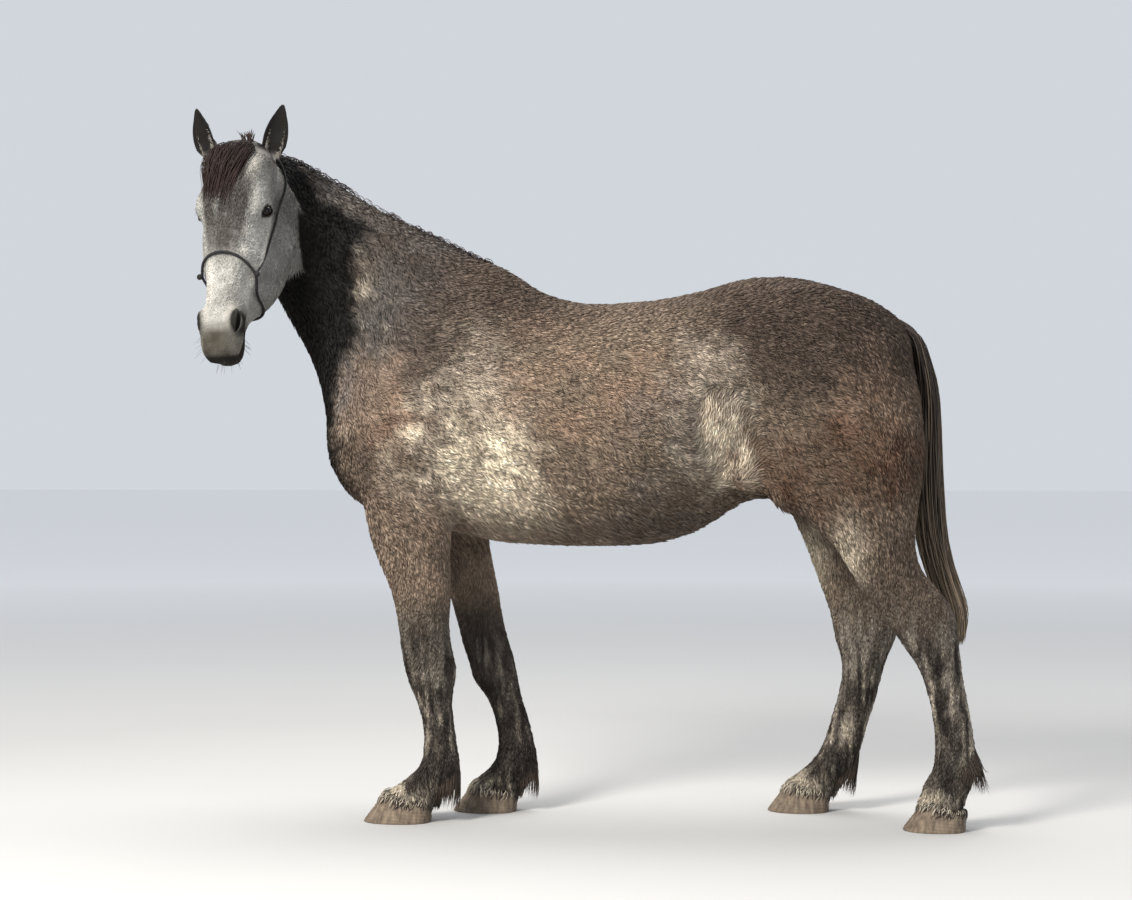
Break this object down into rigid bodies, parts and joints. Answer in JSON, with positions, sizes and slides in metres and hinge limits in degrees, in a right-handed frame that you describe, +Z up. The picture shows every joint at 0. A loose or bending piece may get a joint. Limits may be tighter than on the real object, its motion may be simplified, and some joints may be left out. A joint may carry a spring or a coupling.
{
  "type": "horse model",
  "caption": "Life-size still model of a young heavy draught horse standing on all hooves in a long winter coat, with its head turned to its left and a rope halter on.",
  "frame": {"origin": "on the floor, under the middle of the outline's bounding box", "axes": "the body faces -X, its left side is towards -Y, and +Z is up"},
  "size_m": [2.405, 0.8203, 2.1695],
  "materials": {
    "coat_body": "thick matt winter coat, grizzled grey-brown with paler flanks",
    "coat_head": "short grizzled grey hair, whitest on the nose, bare grey skin on the muzzle",
    "coat_legs": "dark charcoal hair with paler streaks and long feather behind the fetlocks",
    "hoof_horn": "dusty tan-brown horn with fine growth rings",
    "long_hair": "long coarse hair, nearly black at the dock and pale at the ends",
    "eye": "dark brown wet eye",
    "rope": "thin black braided rope"
  },
  "bodies": {
    "root": {"trunk": "coat_body", "neck": "coat_body", "head": "coat_head", "leg_fore_left": "coat_legs", "leg_fore_right": "coat_legs", "leg_hind_left": "coat_legs", "leg_hind_right": "coat_legs", "hoof_fore_left": "hoof_horn", "hoof_fore_right": "hoof_horn", "hoof_hind_left": "hoof_horn", "hoof_hind_right": "hoof_horn", "tail": "long_hair", "eye_left": "eye", "eye_right": "eye", "halter": "rope"}
  },
  "joints": []
}
